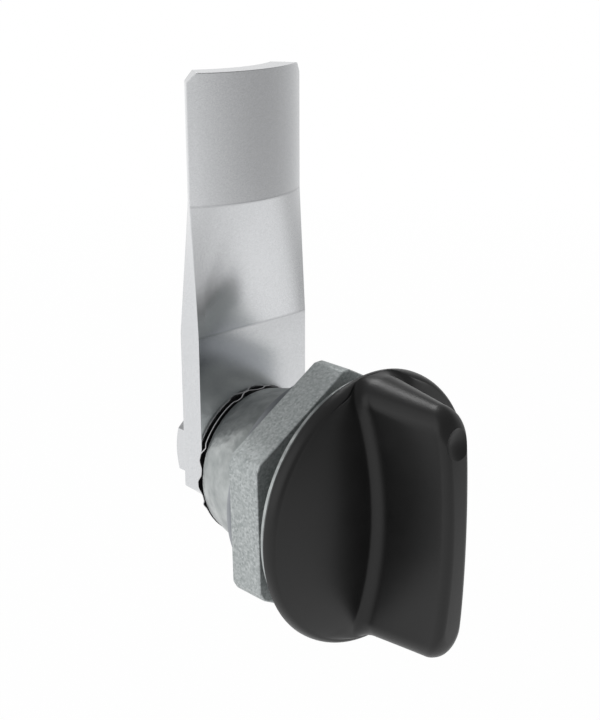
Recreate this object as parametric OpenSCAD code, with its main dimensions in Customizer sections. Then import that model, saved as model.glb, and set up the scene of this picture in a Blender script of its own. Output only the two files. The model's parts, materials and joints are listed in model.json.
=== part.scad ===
// Quarter-turn cam latch with a wing knob, for a sheet-metal door.
// The latch axis is Y: the knob is in front (-Y), the cam behind (+Y), and the cam points up (+Z).
// The origin is on the axis, in the plane of the flange's back face, where the door panel seats.

/* [Panel] */
// Room for the door panel between the flange and the nut
panel_gap = 2.1; // [1:0.1:6]

/* [Housing] */
// Radius of the barrel
barrel_r = 11; // [9.5:0.1:14]
// Length of the barrel behind the flange
barrel_len = 18; // [14:0.5:30]
// How far the lead-in cone draws the barrel in
lead_in = 1.3; // [0.2:0.1:1.4]
// Length of the lead-in cone
lead_len = 5.4; // [1:0.1:7]
// Radius of the edge between the cone and the end face
barrel_edge = 0.25; // [0.1:0.05:0.6]
// Wall of the barrel round the pocket of the spindle's collar
pocket_wall = 1.8; // [1:0.1:2.2]
// Depth of the pocket that holds the spindle's collar
pocket_depth = 2.8; // [2:0.1:4]
// Thickness of the flange's rim, which lies on the door
flange_t = 0.8; // [0.6:0.1:2]
// Width of the flange's rim outside its boss
flange_rim = 1.4; // [0.5:0.1:4]
// Height of the boss above the rim, inside the knob's skirt
boss_t = 0.7; // [0.4:0.1:1]

/* [Panel seal] */
// Width of the seal's groove in the flange's back face
seal_groove_w = 1.9; // [1:0.1:3]
// Wall on each side of the groove
seal_wall = 0.9; // [0.5:0.1:1.5]
// Depth of the groove
seal_groove_depth = 0.8; // [0.4:0.05:0.9]

/* [Mounting nut] */
// Wall of the nut at the middle of its flats
nut_wall = 3.5; // [2:0.1:6]
// Thickness of the nut's hexagon
nut_t = 4.9; // [3:0.1:8]
// Step from the flats in to the round collar behind the hexagon
nut_collar_step = 0.6; // [0.2:0.1:1.6]
// Thickness of the collar
nut_collar_t = 1.5; // [0.8:0.1:3]
// Width of the flats that blunt the hexagon's corners
nut_blunt_w = 1.2; // [0.2:0.1:4]
// Turn of the nut when it is tight
nut_turn = -1.2; // [-30:0.1:30]

/* [Knob] */
// Wall of the knob's skirt round the boss, at its widest
knob_wall = 2.1; // [1.6:0.1:5]
// Height above the door at which the base is widest
knob_wide_h = 1.5; // [1.2:0.1:2]
// Height above the door at which the base's rounded rim ends
knob_rim_h = 2.85; // [2.4:0.05:3.2]
// How far the rounded rim reaches in from the widest radius
knob_rim_in = 0.75; // [0.6:0.05:0.9]
// How far the base's back edge is drawn in
knob_back_in = 0.45; // [0.2:0.05:1]
// Height of the domed base beside the wing, at the middle
knob_dome_h = 4.6; // [3.5:0.1:6]
// Height of the domed base beside the wing's ends
knob_dome_end_h = 3; // [3:0.1:5]
// Height of the wing above the door, at the middle
wing_h = 15.6; // [13:0.1:24]
// How much lower the wing's front edge is at its ends
wing_crown = 1.3; // [0:0.1:2]
// Step from the widest edge of the base in to the wing's upper end, which carries the position mark
wing_end_step = 0.2; // [0.2:0.05:1.5]
// Step from the widest edge of the base in to the wing's lower end
wing_foot_step = 1.2; // [0.9:0.05:3]
// How far the wing's ends bulge beyond their corners
wing_end_bulge = 0.15; // [0.05:0.05:0.3]
// Half thickness of the wing at its waist
wing_waist = 1.9; // [1.8:0.1:4]
// Half thickness of the wing at its ends
wing_end = 3.4; // [2.5:0.1:5]
// Draft of the wing's sides at its waist, from root to front
wing_draft = 0; // [0:0.05:0.4]
// Draft of the wing's sides at its ends, from root to front
wing_end_taper = 1.2; // [0:0.05:1.4]
// Draft of the wing's upper end from root to front
wing_end_draft = 1.05; // [0:0.05:2]
// Draft of the wing's lower end from root to front
wing_foot_draft = 0.15; // [0:0.05:2]
// Reach of the fillet between the wing and the base, out from the wing
root_fillet = 1.2; // [0.5:0.1:2]
// Rise of the same fillet up the wing
root_rise = 1.8; // [0.5:0.1:2.5]
// Rounding of the wing's front edge
front_round = 1.1; // [0.5:0.1:1.3]
// Rounding of the wing's front corners, seen from the side
corner_round = 2.8; // [1.5:0.1:5]
// Radius of the hollow of the position mark
mark_r = 3.2; // [1:0.1:4]
// Depth of the position mark
mark_depth = 0.65; // [0.3:0.05:1]
// Distance of the position mark from the wing's upper end
mark_inset = 4.5; // [4.2:0.05:8]

/* [Spindle] */
// Radius of the spindle in the housing
spindle_r = 6; // [5.7:0.1:7.2]
// Thickness of the tang that drives the knob
tang_t = 2.2; // [1.5:0.1:2.4]
// Height of the tang inside the wing
tang_h = 14; // [8:0.5:16]
// Length of the tang inside the knob
tang_len = 8; // [4:0.1:10]
// Side of the square that drives the cam
cam_square = 8; // [6:0.1:8.2]
// Angle of the quarter turn
turn_angle = 90; // [45:5:120]
// Angle that the stop lug covers
lug_angle = 36; // [20:1:60]
// Step from the spindle's journal out to the stop lug
lug_step = 1; // [0.6:0.1:1.6]
// Depth of the tapped hole for the cam screw
tap_depth = 14; // [8:0.5:16]

/* [Shaft seal] */
// Thickness of the O-ring's section
o_ring_d = 1.4; // [1:0.05:2]
// Depth of the O-ring's groove
o_groove_depth = 1.4; // [1:0.05:2]
// Width of the O-ring's groove
o_groove_w = 2; // [1.6:0.1:3]
// Distance of the groove's middle behind the flange
o_groove_y = 6; // [4:0.1:8]

/* [Cam] */
// Width of the cam
cam_w = 18; // [16:0.5:24]
// Thickness of the cam
cam_t = 3.5; // [2.5:0.1:4]
// Distance from the axis to the cam's tip
cam_len = 50; // [42:0.5:70]
// Height of the lower crease, where the flat ends
cam_crease_low = 18.3; // [16:0.1:19]
// Height of the upper crease, where the rolled tip starts
cam_crease_high = 34.4; // [26:0.1:40]
// Radius of the rolled tip's front face
tip_r = 15.3; // [12:0.1:30]
// How far the rolled tip stands in front of the flat
tip_forward = 1.9; // [0:0.1:3]
// Chamfer at the tip's corners
tip_chamfer = 1.2; // [0.4:0.1:3]
// Depth below the axis at which the foot's slanted corners start
foot_corner = 2.1; // [0:0.1:5]
// Depth of the foot below the axis
foot_depth = 6.9; // [6:0.1:9]
// Width of the foot's lower edge
foot_w = 6; // [2:0.5:16]

/* [Spring washers] */
// Sheet thickness of the wave washer
wave_t = 0.15; // [0.1:0.05:0.3]
// Height of the wave washer over its waves, which sets the cam's distance from the barrel
wave_h = 0.78; // [0.5:0.02:2]
// How far the wave washer stands out past the barrel's end
wave_overhang = 0.1; // [0:0.05:0.5]
// Number of waves that would fill the whole ring
wave_count = 17; // [8:1:24]
// Angle of a crest from straight up
crest_turn = 12.3; // [0:0.1:45]
// Number of stretches that are waved; the ring is flat between them
crimp_count = 4; // [2:1:4]
// Angle of each waved stretch
crimp_angle = 48; // [20:1:60]
// Angle of the first waved stretch's middle from straight up
crimp_turn = 2; // [-45:1:45]
// Thickness of the thrust washer inside the wave washer
thrust_t = 0.7; // [0.3:0.05:0.72]
// Width of the thrust washer's band
thrust_w = 1.3; // [0.6:0.1:1.5]
// Play of the thrust washer round the spindle
washer_play = 0.4; // [0.2:0.05:0.6]

/* [Cam screw] */
// Nominal radius of the cam screw
screw_r = 3; // [2.5:0.1:3]
// Length of the screw's shank
screw_len = 14; // [10:0.5:16]
// Width across the flats of the screw's head
screw_af = 10; // [8:0.1:13]
// Height of the screw's head
screw_head_h = 4; // [3:0.1:6]
// How far the chamfer cuts in from the head's corners
screw_chamfer = 0.9; // [0.2:0.1:1.4]
// Radius of the flat washer
flat_washer_r = 6; // [5:0.1:8]
// Thickness of the flat washer
flat_washer_t = 1.2; // [0.8:0.1:2]
// Outer radius of the split lock washer
lock_washer_r = 5.4; // [4.5:0.1:6]
// Thickness of the split lock washer
lock_washer_t = 1.5; // [1:0.1:2]
// Width of the slit in the lock washer
lock_slit = 0.8; // [0.4:0.1:1.5]
// Slant of the slit
lock_slant = 20; // [0:1:35]

/* [Hidden] */
$fn = 96;

// Clearances
running_gap = 0.05;
seat_gap = 0.02;
knob_gap = 0.1;
pocket_gap = 0.2;
seal_gap = 0.05;
thread_gap = 0.03;
washer_bore_gap = 0.25;
socket_gap = 0.02;
stop_gap_angle = 1;
cut = 1;

// Angles of hexagons: from corner to corner, and of the slope that turns corners down
hex_step = 60;
chamfer_angle = 30;

// Places along the axis, from front to back
boss_front = -(flange_t + boss_t);
collar_front = boss_front - pocket_gap;
pocket_floor = boss_front + pocket_depth;
collar_back = pocket_floor - running_gap;
nut_front = panel_gap;
nut_back = nut_front + nut_t;
nut_end = nut_back + nut_collar_t;
wave_front = barrel_len + seat_gap;
cam_front = wave_front + wave_h + seat_gap;
thrust_back = cam_front - seat_gap;
cam_back = cam_front + cam_t;
square_end = cam_back - pocket_gap;
lock_front = cam_back + flat_washer_t;
head_front = lock_front + lock_washer_t;
head_back = head_front + screw_head_h;

// Radii that follow from a fit, from the barrel and the spindle outwards
bore_r = spindle_r + running_gap;
lug_in_r = spindle_r + lug_step;
thrust_in_r = spindle_r + washer_play;
thrust_out_r = thrust_in_r + thrust_w;
wave_in_r = thrust_out_r + pocket_gap;
barrel_end_r = barrel_r - lead_in;
wave_out_r = barrel_end_r + wave_overhang;
pocket_r = barrel_r - pocket_wall;
collar_r = pocket_r - pocket_gap;
seal_groove_in = barrel_r + seal_wall;
seal_groove_out = seal_groove_in + seal_groove_w;
boss_r = seal_groove_out + seal_wall;
flange_r = boss_r + flange_rim;
skirt_r = boss_r + pocket_gap;
knob_r = skirt_r + knob_wall;
wing_half_len = knob_r - wing_end_step;
wing_foot_len = knob_r - wing_foot_step;
mark_z = wing_half_len - mark_inset;
nut_bore_r = barrel_r + thread_gap;
nut_af = 2 * (barrel_r + nut_wall);
nut_collar_r = nut_af / 2 - nut_collar_step;
screw_hole_r = screw_r + thread_gap;
screw_washer_bore = screw_r + washer_bore_gap;

// Points along each stretch of a quarter of the knob's outline, the shape of its corners,
// and how far beside the axis the rim's rounding starts and is whole
side_steps = 10;
corner_steps = 5;
quarter = side_steps + corner_steps + 1;
round_steps = 5;
wall_steps = 4;
dome_steps = 6;
rim_steps = 4;
outline_corner = 2.6;
corner_share = 0.7;
end_sharpness = 8;
blend_in = 2.5;
blend_out = 6;

// Stations round the wave washer, and how steeply its waves rise between their flats
wave_stations = 136;
wave_gain = 1.5;

// Rows and columns of the cam's formed part
cam_columns = 24;
cam_rows = 8;
tip_half_angle = asin(cam_w / 2 / tip_r);
chamfer_share = tip_chamfer / (tip_r * tip_half_angle * PI / 180);
cam_shares = concat(
  [-1],
  [for (j = [0:cam_columns - 2]) (1 - chamfer_share) * (2 * j / (cam_columns - 2) - 1)],
  [1]
);

// Lies a shape that stands along Z down along the latch axis
module along_axis(y = 0) {
  translate([0, y, 0])
    rotate([-90, 0, 0])
      children();
}

// Plate between two places on the axis, from an outline seen from the front
module plate(front, back) {
  translate([0, back, 0])
    rotate([90, 0, 0])
      linear_extrude(back - front)
        children();
}

// Flat ring round the axis
module ring(front, back, inner, outer) {
  along_axis(front)
    difference() {
      cylinder(r = outer, h = back - front);
      translate([0, 0, -cut])
        cylinder(r = inner, h = back - front + 2 * cut);
    }
}

// Sector of a ring, centred on an angle counted from straight up
module ring_sector(front, back, inner, outer, middle, angle) {
  along_axis(front)
    rotate([0, 0, middle - 90 - angle / 2])
      rotate_extrude(angle = angle)
        translate([inner, 0])
          square([outer - inner, back - front]);
}

// Straight bar on the axis, with its sizes across X and Z
module bar(front, back, size) {
  plate(front, back)
    square(size, center = true);
}

// Hexagon with a corner up
module hexagon(front, back, af) {
  plate(front, back)
    rotate([0, 0, 90])
      circle(r = af / sqrt(3), $fn = 6);
}

// Hexagon whose corners are blunted by narrow flats
module blunt_hexagon(front, back, af, blunt_w) {
  blunt_r = af / sqrt(3) - blunt_w / 2 / tan(hex_step);
  intersection() {
    hexagon(front, back, af);
    rotate([0, hex_step / 2, 0])
      hexagon(front, back, 2 * blunt_r);
  }
}

// Hexagon whose corners are turned down to a slope at the back
module turned_hexagon(front, back, af, corner_cut) {
  corner_r = af / sqrt(3);
  height = back - front;
  slope = tan(chamfer_angle);
  intersection() {
    hexagon(front, back, af);
    along_axis(front)
      rotate_extrude()
        polygon([
          [0, 0],
          [corner_r + cut, 0],
          [corner_r + cut, height - (corner_cut + cut) * slope],
          [corner_r - corner_cut, height],
          [0, height]
        ]);
  }
}

// Half thickness of the wing at a share of its length, with an inset from its root outline
function wing_half(share, waist, end) = waist + (end - waist) * share * share;

// One quarter of the wing's outline: along the side, round the corner, then to the end's middle
function wing_quarter(waist, end, half_len) =
  let (straight = half_len - outline_corner)
  concat(
    [for (i = [0:side_steps - 1]) [wing_half(i / side_steps, waist, end), straight * i / side_steps]],
    [for (i = [0:corner_steps])
      let (a = 90 * i / corner_steps)
      [end * (1 - corner_share * (1 - cos(a))), straight + outline_corner * sin(a)]]
  );

// One quarter of a circle with a point for each point of the wing's quarter
function circle_quarter(r) =
  let (straight = wing_half_len - outline_corner, a0 = asin(straight / knob_r))
  concat(
    [for (i = [0:side_steps - 1])
      let (a = asin(straight * i / side_steps / knob_r))
      [r * cos(a), r * sin(a)]],
    [for (i = [0:corner_steps])
      let (a = a0 + (90 - a0) * i / (corner_steps + 1))
      [r * cos(a), r * sin(a)]]
  );

// Closed outline from an upper and a lower quarter and the points at the middles of their ends
function whole_outline(upper, top, lower, bottom) = concat(
  upper,
  [[0, top]],
  [for (i = [quarter - 1:-1:1]) [-upper[i][0], upper[i][1]]],
  [for (i = [0:quarter - 1]) [-lower[i][0], -lower[i][1]]],
  [[0, -bottom]],
  [for (i = [quarter - 1:-1:1]) [lower[i][0], -lower[i][1]]]
);

function wing_outline(waist, end, up, down) =
  whole_outline(wing_quarter(waist, end, up), up + wing_end_bulge,
                wing_quarter(waist, end, down), down + wing_end_bulge);

function circle_outline(r) = whole_outline(circle_quarter(r), r, circle_quarter(r), r);

// How far the rim is rounded in at a point of its widest outline: not at all below the wing's upper end
function smooth(t) = let (u = max(0, min(1, t))) u * u * (3 - 2 * u);
function rim_in(c) = knob_rim_in * (c[1] < 0 ? 1 : smooth((abs(c[0]) - blend_in) / (blend_out - blend_in)));

// Height of the base beside the wing, and of the wing's front edge, at a height above the axis
function dome_h(z) = knob_dome_h - (knob_dome_h - knob_dome_end_h) * pow(z / knob_r, 2);
function front_h(z) = wing_h - wing_crown * pow(z / wing_half_len, 2);

// Share of a point that belongs to the wing's end rather than to its side
function end_share(z, up, down) = pow(min(1, z > 0 ? z / up : -z / down), end_sharpness);

function mix(a, b, s) = a * (1 - s) + b * s;

// Rings of the knob's surface, each a list of points, from its back edge to the wing's front edge
back_ring = [for (c = circle_outline(knob_r - knob_back_in)) [c[0], -(flange_t + knob_gap), c[1]]];
rim_rings = [
  for (k = [0:rim_steps - 1])
    let (a = 90 * k / rim_steps)
    [for (c = circle_outline(knob_r))
      let (p = c * (1 - rim_in(c) / knob_r * (1 - cos(a))))
      [p[0], -mix(knob_wide_h, knob_rim_h, sin(a)), p[1]]]
];
dome_outer = [for (c = circle_outline(knob_r)) c * (1 - rim_in(c) / knob_r)];
fillet_outer = wing_outline(wing_waist + root_fillet, wing_end + root_fillet, wing_half_len, wing_foot_len);
dome_rings = [
  for (k = [0:dome_steps])
    let (s = k / dome_steps)
    [for (i = [0:len(dome_outer) - 1])
      let (p = mix(dome_outer[i], fillet_outer[i], s))
      [p[0], -mix(knob_rim_h, dome_h(p[1]), sin(90 * s)), p[1]]]
];
fillet_rings = [
  for (k = [1:round_steps])
    let (a = 90 * k / round_steps, out = root_fillet * (1 - sin(a)), rise = root_rise * (1 - cos(a)))
    [for (p = wing_outline(wing_waist + out, wing_end + out, wing_half_len, wing_foot_len))
      [p[0], -(dome_h(p[1]) + rise), p[1]]]
];
wall_rings = [
  for (k = [1:wall_steps])
    let (s = k / wall_steps,
         up = wing_half_len - wing_end_draft * s,
         down = wing_foot_len - wing_foot_draft * s)
    [for (p = wing_outline(wing_waist - wing_draft * s, wing_end - wing_end_taper * s, up, down))
      let (foot = dome_h(p[1]) + root_rise,
           head = front_h(p[1]) - mix(front_round, corner_round, end_share(p[1], up, down)))
      [p[0], -mix(foot, head, s), p[1]]]
];
front_rings = [
  for (k = [1:round_steps])
    let (a = 90 * k / round_steps, inset = 1 - cos(a), rise = 1 - sin(a),
         up = wing_half_len - wing_end_draft - corner_round * inset,
         down = wing_foot_len - wing_foot_draft - corner_round * inset)
    [for (p = wing_outline(wing_waist - wing_draft - front_round * inset,
                           wing_end - wing_end_taper - front_round * inset, up, down))
      let (r = mix(front_round, corner_round, end_share(p[1], up, down)))
      [p[0], -(front_h(p[1]) - r * rise), p[1]]]
];
knob_rings = concat([back_ring], rim_rings, dome_rings, fillet_rings, wall_rings, front_rings);

// Skin over a stack of equal rings, closed by a flat back and by strips across the front edge
module ring_skin(rings) {
  n = len(rings[0]);
  last = (len(rings) - 1) * n;
  half = n / 2;
  sides = [
    for (k = [0:len(rings) - 2], i = [0:n - 1])
      let (a = k * n + i, b = k * n + (i + 1) % n)
      each [[a, b, b + n], [a, b + n, a + n]]
  ];
  back = [[for (i = [n - 1:-1:0]) i]];
  front = [
    for (start = [0, half], i = [0:half / 2 - 1])
      let (a = last + start + i, b = last + start + i + 1,
           c = last + (start + half - i - 1) % n, d = last + (start + half - i) % n)
      each (b == c ? [[a, b, d]] : [[a, b, c], [a, c, d]])
  ];
  polyhedron([for (r = rings, p = r) p], concat(sides, back, front));
}

module wing_knob() {
  color([0.09, 0.09, 0.09])
    difference() {
      ring_skin(knob_rings);
      along_axis(collar_front)
        cylinder(r = skirt_r, h = -collar_front + cut);
      bar(collar_front - tang_len - pocket_gap, 0, [tang_t + 2 * socket_gap, tang_h + 2 * socket_gap]);
      translate([0, -front_h(mark_z) - mark_r + mark_depth, mark_z])
        sphere(r = mark_r);
    }
}

module spindle() {
  color([0.72, 0.72, 0.7])
    difference() {
      union() {
        bar(collar_front - tang_len, collar_front, [tang_t, tang_h]);
        spindle_turned();
        bar(cam_front, square_end, [cam_square, cam_square]);
      }
      ring_sector(collar_front - cut, collar_back + cut, lug_in_r - pocket_gap, collar_r + cut,
                  180 - turn_angle / 2, turn_angle + lug_angle + 2 * stop_gap_angle);
      along_axis(square_end - tap_depth)
        cylinder(r = screw_hole_r, h = tap_depth + cut);
    }
}

// Turned part of the spindle: collar, journal and O-ring groove
module spindle_turned() {
  groove_front = o_groove_y - o_groove_w / 2;
  groove_back = o_groove_y + o_groove_w / 2;
  along_axis()
    rotate_extrude()
      polygon([
        [0, collar_front],
        [collar_r, collar_front],
        [collar_r, collar_back],
        [spindle_r, collar_back],
        [spindle_r, groove_front],
        [spindle_r - o_groove_depth, groove_front],
        [spindle_r - o_groove_depth, groove_back],
        [spindle_r, groove_back],
        [spindle_r, cam_front],
        [0, cam_front]
      ]);
}

module shaft_o_ring() {
  color([0.05, 0.05, 0.05])
    along_axis(o_groove_y)
      rotate_extrude()
        translate([spindle_r - o_ring_d / 2, 0])
          circle(d = o_ring_d - 2 * seat_gap);
}

module housing() {
  color([0.72, 0.73, 0.73])
    union() {
      difference() {
        along_axis()
          rotate_extrude()
            polygon([
              [bore_r, boss_front],
              [boss_r, boss_front],
              [boss_r, -flange_t],
              [flange_r, -flange_t],
              [flange_r, 0],
              [barrel_r, 0],
              [barrel_r, barrel_len - lead_len],
              [barrel_end_r, barrel_len - barrel_edge],
              [barrel_end_r - barrel_edge, barrel_len],
              [bore_r, barrel_len]
            ]);
        along_axis(boss_front - cut)
          cylinder(r = pocket_r, h = pocket_depth + cut);
        ring(-seal_groove_depth, cut, seal_groove_in, seal_groove_out);
      }
      ring_sector(boss_front, pocket_floor + cut, lug_in_r, pocket_r + cut, 180, lug_angle);
    }
}

module panel_seal() {
  color([0.06, 0.06, 0.06])
    ring(-seal_groove_depth + seat_gap, -seat_gap, seal_groove_in + seal_gap, seal_groove_out - seal_gap);
}

module mounting_nut() {
  color([0.68, 0.7, 0.68])
    difference() {
      union() {
        rotate([0, nut_turn, 0])
          blunt_hexagon(nut_front, nut_back, nut_af, nut_blunt_w);
        along_axis(nut_back - cut)
          cylinder(r = nut_collar_r, h = nut_collar_t + cut);
      }
      along_axis(nut_front - cut)
        cylinder(r = nut_bore_r, h = nut_end - nut_front + 2 * cut);
    }
}

// Height of the wave washer's sheet at an angle, as a share: half-way on the flat stretches
function wave_level(angle) =
  let (pitch = 360 / crimp_count,
       off = angle - crimp_turn - pitch * round((angle - crimp_turn) / pitch),
       wave = wave_gain * cos(wave_count * (angle - crest_turn)))
  abs(off) > crimp_angle / 2 ? 1 / 2 : (1 + max(-1, min(1, wave))) / 2;

module wave_washer() {
  corners = [
    for (i = [0:wave_stations - 1])
      let (angle = 360 * i / wave_stations,
           y = wave_front + (wave_h - wave_t) * wave_level(angle),
           x = sin(angle),
           z = cos(angle))
      each [
        [wave_in_r * x, y, wave_in_r * z],
        [wave_out_r * x, y, wave_out_r * z],
        [wave_out_r * x, y + wave_t, wave_out_r * z],
        [wave_in_r * x, y + wave_t, wave_in_r * z]
      ]
  ];
  skin = [
    for (i = [0:wave_stations - 1], j = [0:3])
      let (a = i * 4 + j,
           b = i * 4 + (j + 1) % 4,
           next = (i + 1) % wave_stations * 4,
           c = next + j,
           d = next + (j + 1) % 4)
      each [[a, c, d], [a, d, b]]
  ];
  color([0.12, 0.12, 0.12])
    polyhedron(corners, skin);
}

module thrust_washer() {
  color([0.12, 0.12, 0.12])
    ring(thrust_back - thrust_t, thrust_back, thrust_in_r, thrust_out_r);
}

// Point of the formed part: share of the half width, share of the roll, height, depth behind the front face
function cam_point(v, s, z, depth) =
  let (a = v * tip_half_angle, r = tip_r - depth, centre_y = cam_front - tip_forward + tip_r)
  mix([v * cam_w / 2, cam_front + depth, z], [r * sin(a), centre_y - r * cos(a), z], s);

// One row of the formed part: across the front face, then back across the rear face, lower at its two edges
function cam_row(s, z, edge_drop) =
  concat(
    [for (v = cam_shares) cam_point(v, s, z - (abs(v) == 1 ? edge_drop : 0), 0)],
    [for (j = [cam_columns:-1:0])
      let (v = cam_shares[j])
      cam_point(v, s, z - (abs(v) == 1 ? edge_drop : 0), cam_t)]
  );

// Ruled transition from the flat to the rolled tip, and the tip itself
module cam_formed() {
  rows = concat(
    [for (k = [0:cam_rows])
      let (s = k / cam_rows)
      cam_row(s, mix(cam_crease_low, cam_crease_high, s), 0)],
    [cam_row(1, cam_len, tip_chamfer)]
  );
  n = len(rows[0]);
  sides = [
    for (k = [0:len(rows) - 2], i = [0:n - 1])
      let (a = k * n + i, b = k * n + (i + 1) % n)
      each [[a, b + n, b], [a, a + n, b + n]]
  ];
  top = (len(rows) - 1) * n;
  low_cap = [
    for (j = [0:cam_columns - 1])
      each [[j, j + 1, n - 2 - j], [j, n - 2 - j, n - 1 - j]]
  ];
  high_cap = [
    for (j = [0:cam_columns - 1])
      each [[top + j, top + n - 2 - j, top + j + 1], [top + j, top + n - 1 - j, top + n - 2 - j]]
  ];
  polyhedron([for (r = rows, p = r) p], concat(sides, low_cap, high_cap));
}

module cam() {
  color([0.75, 0.76, 0.77])
    union() {
      plate(cam_front, cam_back)
        difference() {
          polygon([
            [-cam_w / 2, cam_crease_low],
            [-cam_w / 2, -foot_corner],
            [-foot_w / 2, -foot_depth],
            [foot_w / 2, -foot_depth],
            [cam_w / 2, -foot_corner],
            [cam_w / 2, cam_crease_low]
          ]);
          square(cam_square + 2 * running_gap, center = true);
        }
      cam_formed();
    }
}

module flat_washer() {
  color([0.74, 0.74, 0.75])
    ring(cam_back + seat_gap, lock_front, screw_washer_bore, flat_washer_r);
}

module spring_lock_washer() {
  color([0.7, 0.7, 0.71])
    difference() {
      ring(lock_front + seat_gap, head_front - seat_gap, screw_washer_bore, lock_washer_r);
      translate([0, (lock_front + head_front) / 2, lock_washer_r])
        rotate([0, 0, lock_slant])
          cube([lock_slit, 2 * lock_washer_r, 2 * lock_washer_r], center = true);
    }
}

module cam_screw() {
  color([0.78, 0.78, 0.79])
    union() {
      turned_hexagon(head_front, head_back, screw_af, screw_chamfer);
      along_axis(head_front - screw_len)
        cylinder(r = screw_r, h = screw_len + cut);
    }
}

wing_knob();
spindle();
shaft_o_ring();
housing();
panel_seal();
mounting_nut();
wave_washer();
thrust_washer();
cam();
flat_washer();
spring_lock_washer();
cam_screw();
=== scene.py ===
"""Looks of a quarter-turn cam latch with a wing knob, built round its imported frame."""

import json
import math

import bmesh
import bpy
from mathutils import Matrix, Vector

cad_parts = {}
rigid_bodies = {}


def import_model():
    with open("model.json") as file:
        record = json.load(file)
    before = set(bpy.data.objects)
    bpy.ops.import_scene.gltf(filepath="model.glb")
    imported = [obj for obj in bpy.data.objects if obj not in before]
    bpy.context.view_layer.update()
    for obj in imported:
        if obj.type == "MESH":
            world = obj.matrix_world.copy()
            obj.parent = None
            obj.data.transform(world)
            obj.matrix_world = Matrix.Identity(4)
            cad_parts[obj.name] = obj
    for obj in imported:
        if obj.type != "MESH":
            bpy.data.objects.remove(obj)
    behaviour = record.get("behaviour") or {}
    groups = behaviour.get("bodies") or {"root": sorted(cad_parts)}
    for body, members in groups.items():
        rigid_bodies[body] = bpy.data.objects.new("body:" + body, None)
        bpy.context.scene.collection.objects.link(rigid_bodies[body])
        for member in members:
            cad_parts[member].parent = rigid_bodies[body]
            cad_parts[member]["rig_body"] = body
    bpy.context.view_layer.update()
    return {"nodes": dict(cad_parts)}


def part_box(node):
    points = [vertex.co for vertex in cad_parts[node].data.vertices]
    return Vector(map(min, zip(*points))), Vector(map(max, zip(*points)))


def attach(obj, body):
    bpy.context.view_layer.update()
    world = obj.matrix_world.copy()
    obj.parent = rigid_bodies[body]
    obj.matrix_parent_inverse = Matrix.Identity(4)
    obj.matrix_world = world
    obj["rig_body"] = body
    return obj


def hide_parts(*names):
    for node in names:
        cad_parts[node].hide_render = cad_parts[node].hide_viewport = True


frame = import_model()

# Sizes below are in millimetres, and Blender's own unit is the metre
MM = 0.001


def box_mm(node):
    """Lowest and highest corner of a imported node, in millimetres."""
    return [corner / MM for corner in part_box(node)]


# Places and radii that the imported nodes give
KNOB_LOW, KNOB_HIGH = box_mm("wing_knob")
HOUSING_LOW, HOUSING_HIGH = box_mm("housing")
NUT_LOW, NUT_HIGH = box_mm("mounting_nut")
CAM_LOW, CAM_HIGH = box_mm("cam")
SEAL_HIGH = box_mm("panel_seal")[1]

# Distances below which points are merged, or count as being in the same place
MERGE = 0.0005
SAME_PLACE = 0.01

# Wing knob: its base
KNOB_R = KNOB_HIGH.x
KNOB_BACK = -KNOB_HIGH.y
KNOB_BACK_IN = 0.45
KNOB_WIDE_H = 1.5
KNOB_RIM_H = 2.85
KNOB_RIM_IN = 0.75
DOME_H = 4.6
DOME_END_H = 3
SKIRT_R = KNOB_R - 2.1
SKIRT_DEPTH = 1.7

# Wing knob: its wing, where a power of 2 makes an elliptic end and more makes it squarer
WING_H = -KNOB_LOW.y
WING_CROWN = 1.3
WING_UP = KNOB_R - 0.2
WING_UP_DRAFT = 1.05
WING_DOWN = KNOB_R - 1.2
WING_DOWN_DRAFT = 0.15
WING_END_BULGE = 0.15
WING_WAIST = 1.9
WING_END = 3.4
WING_END_TAPER = 1.2
ROOT_FILLET = 1.2
ROOT_RISE = 1.8
ROOT_POWER = 3.6
WALL_POWER = 2
FRONT_ROUND = 1.1
CORNER_ROUND = 2.8
OUTLINE_CORNER = 2.6
END_SHARPNESS = 8

# Wing knob: where its base sinks below the wing's upper end, across and up
BLEND_IN = 2
BLEND_OUT = 5.6
SINK_FROM = 13
SINK_TO = 16.5
SUNK_H = 1.9

# Wing knob: its position mark and the slot for the spindle's tang
MARK_R = 3.2
MARK_DEPTH = 0.65
MARK_Z = WING_UP - 4.5
TANG = (2.24, 9.2, 14.04)
SLOT_OVERLAP = 1

# Wing knob: points of its mesh
SIDE_STEPS = 48
CORNER_STEPS = 20
RIM_STEPS = 10
DOME_STEPS = 28
ROUND_STEPS = 14
WALL_STEPS = 16

# Housing
BARREL_R = 11
BARREL_END_R = 9.7
BARREL_LEN = HOUSING_HIGH.y
LEAD_LEN = 5.4
LEAD_ROUND = 1.2
BARREL_END_ROUND = 0.25
BOSS_FRONT = HOUSING_LOW.y
BOSS_R = SKIRT_R - 0.2
FLANGE_T = 0.8
FLANGE_R = HOUSING_HIGH.x
FLANGE_ROUND = 0.15
FINE_ROUND = 0.1
POCKET_R = 9.2
POCKET_DEPTH = 2.8
BORE_R = 6.05
SEAL_GAP = 0.05
GROOVE_IN = 0.9
GROOVE_DEPTH = 0.8
GROOVE_ROUND = 0.05

# Mounting nut
NUT_AF = 29
NUT_T = 4.9
NUT_BACK = NUT_LOW.y + NUT_T
NUT_COLLAR_R = 13.9
NUT_COLLAR_START = 0.05
NUT_BORE_R = 11.03
NUT_BLUNT_W = 1.2
NUT_TURN = math.radians(-1.2)
NUT_EDGE = 0.22
NUT_FLAT_STEPS = 24

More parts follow.
